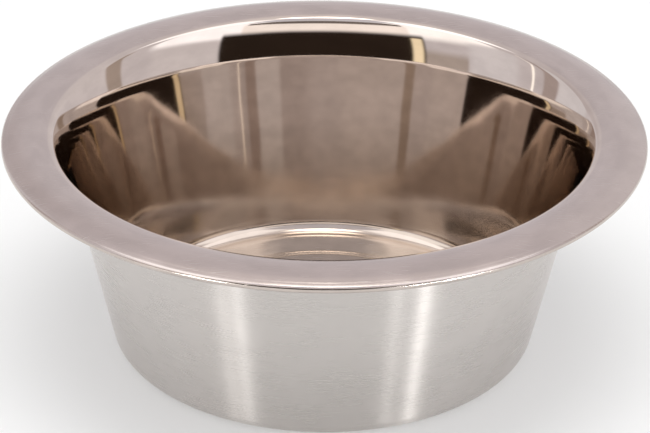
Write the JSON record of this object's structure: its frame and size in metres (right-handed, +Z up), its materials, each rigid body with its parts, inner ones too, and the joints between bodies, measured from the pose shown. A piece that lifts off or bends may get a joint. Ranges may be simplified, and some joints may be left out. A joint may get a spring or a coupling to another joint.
{
  "type": "dog bowl",
  "caption": "Round deep-drawn stainless dog bowl with a tapered wall, a raised floor middle and a wide, gently domed rim with a curled edge, for food or water.",
  "frame": {"origin": "centre of the foot ring, on the surface that the bowl stands on", "axes": "+Z up along the bowl's axis, towards its open mouth; X and Y lie in the table and are alike by symmetry"},
  "size_m": [0.2298, 0.2298, 0.0832],
  "materials": {
    "stainless_sheet": "mirror-polished inside, smooth satin on the rim, fine satin outside"
  },
  "bodies": {
    "root": {"bowl": "stainless_sheet"}
  },
  "joints": []
}
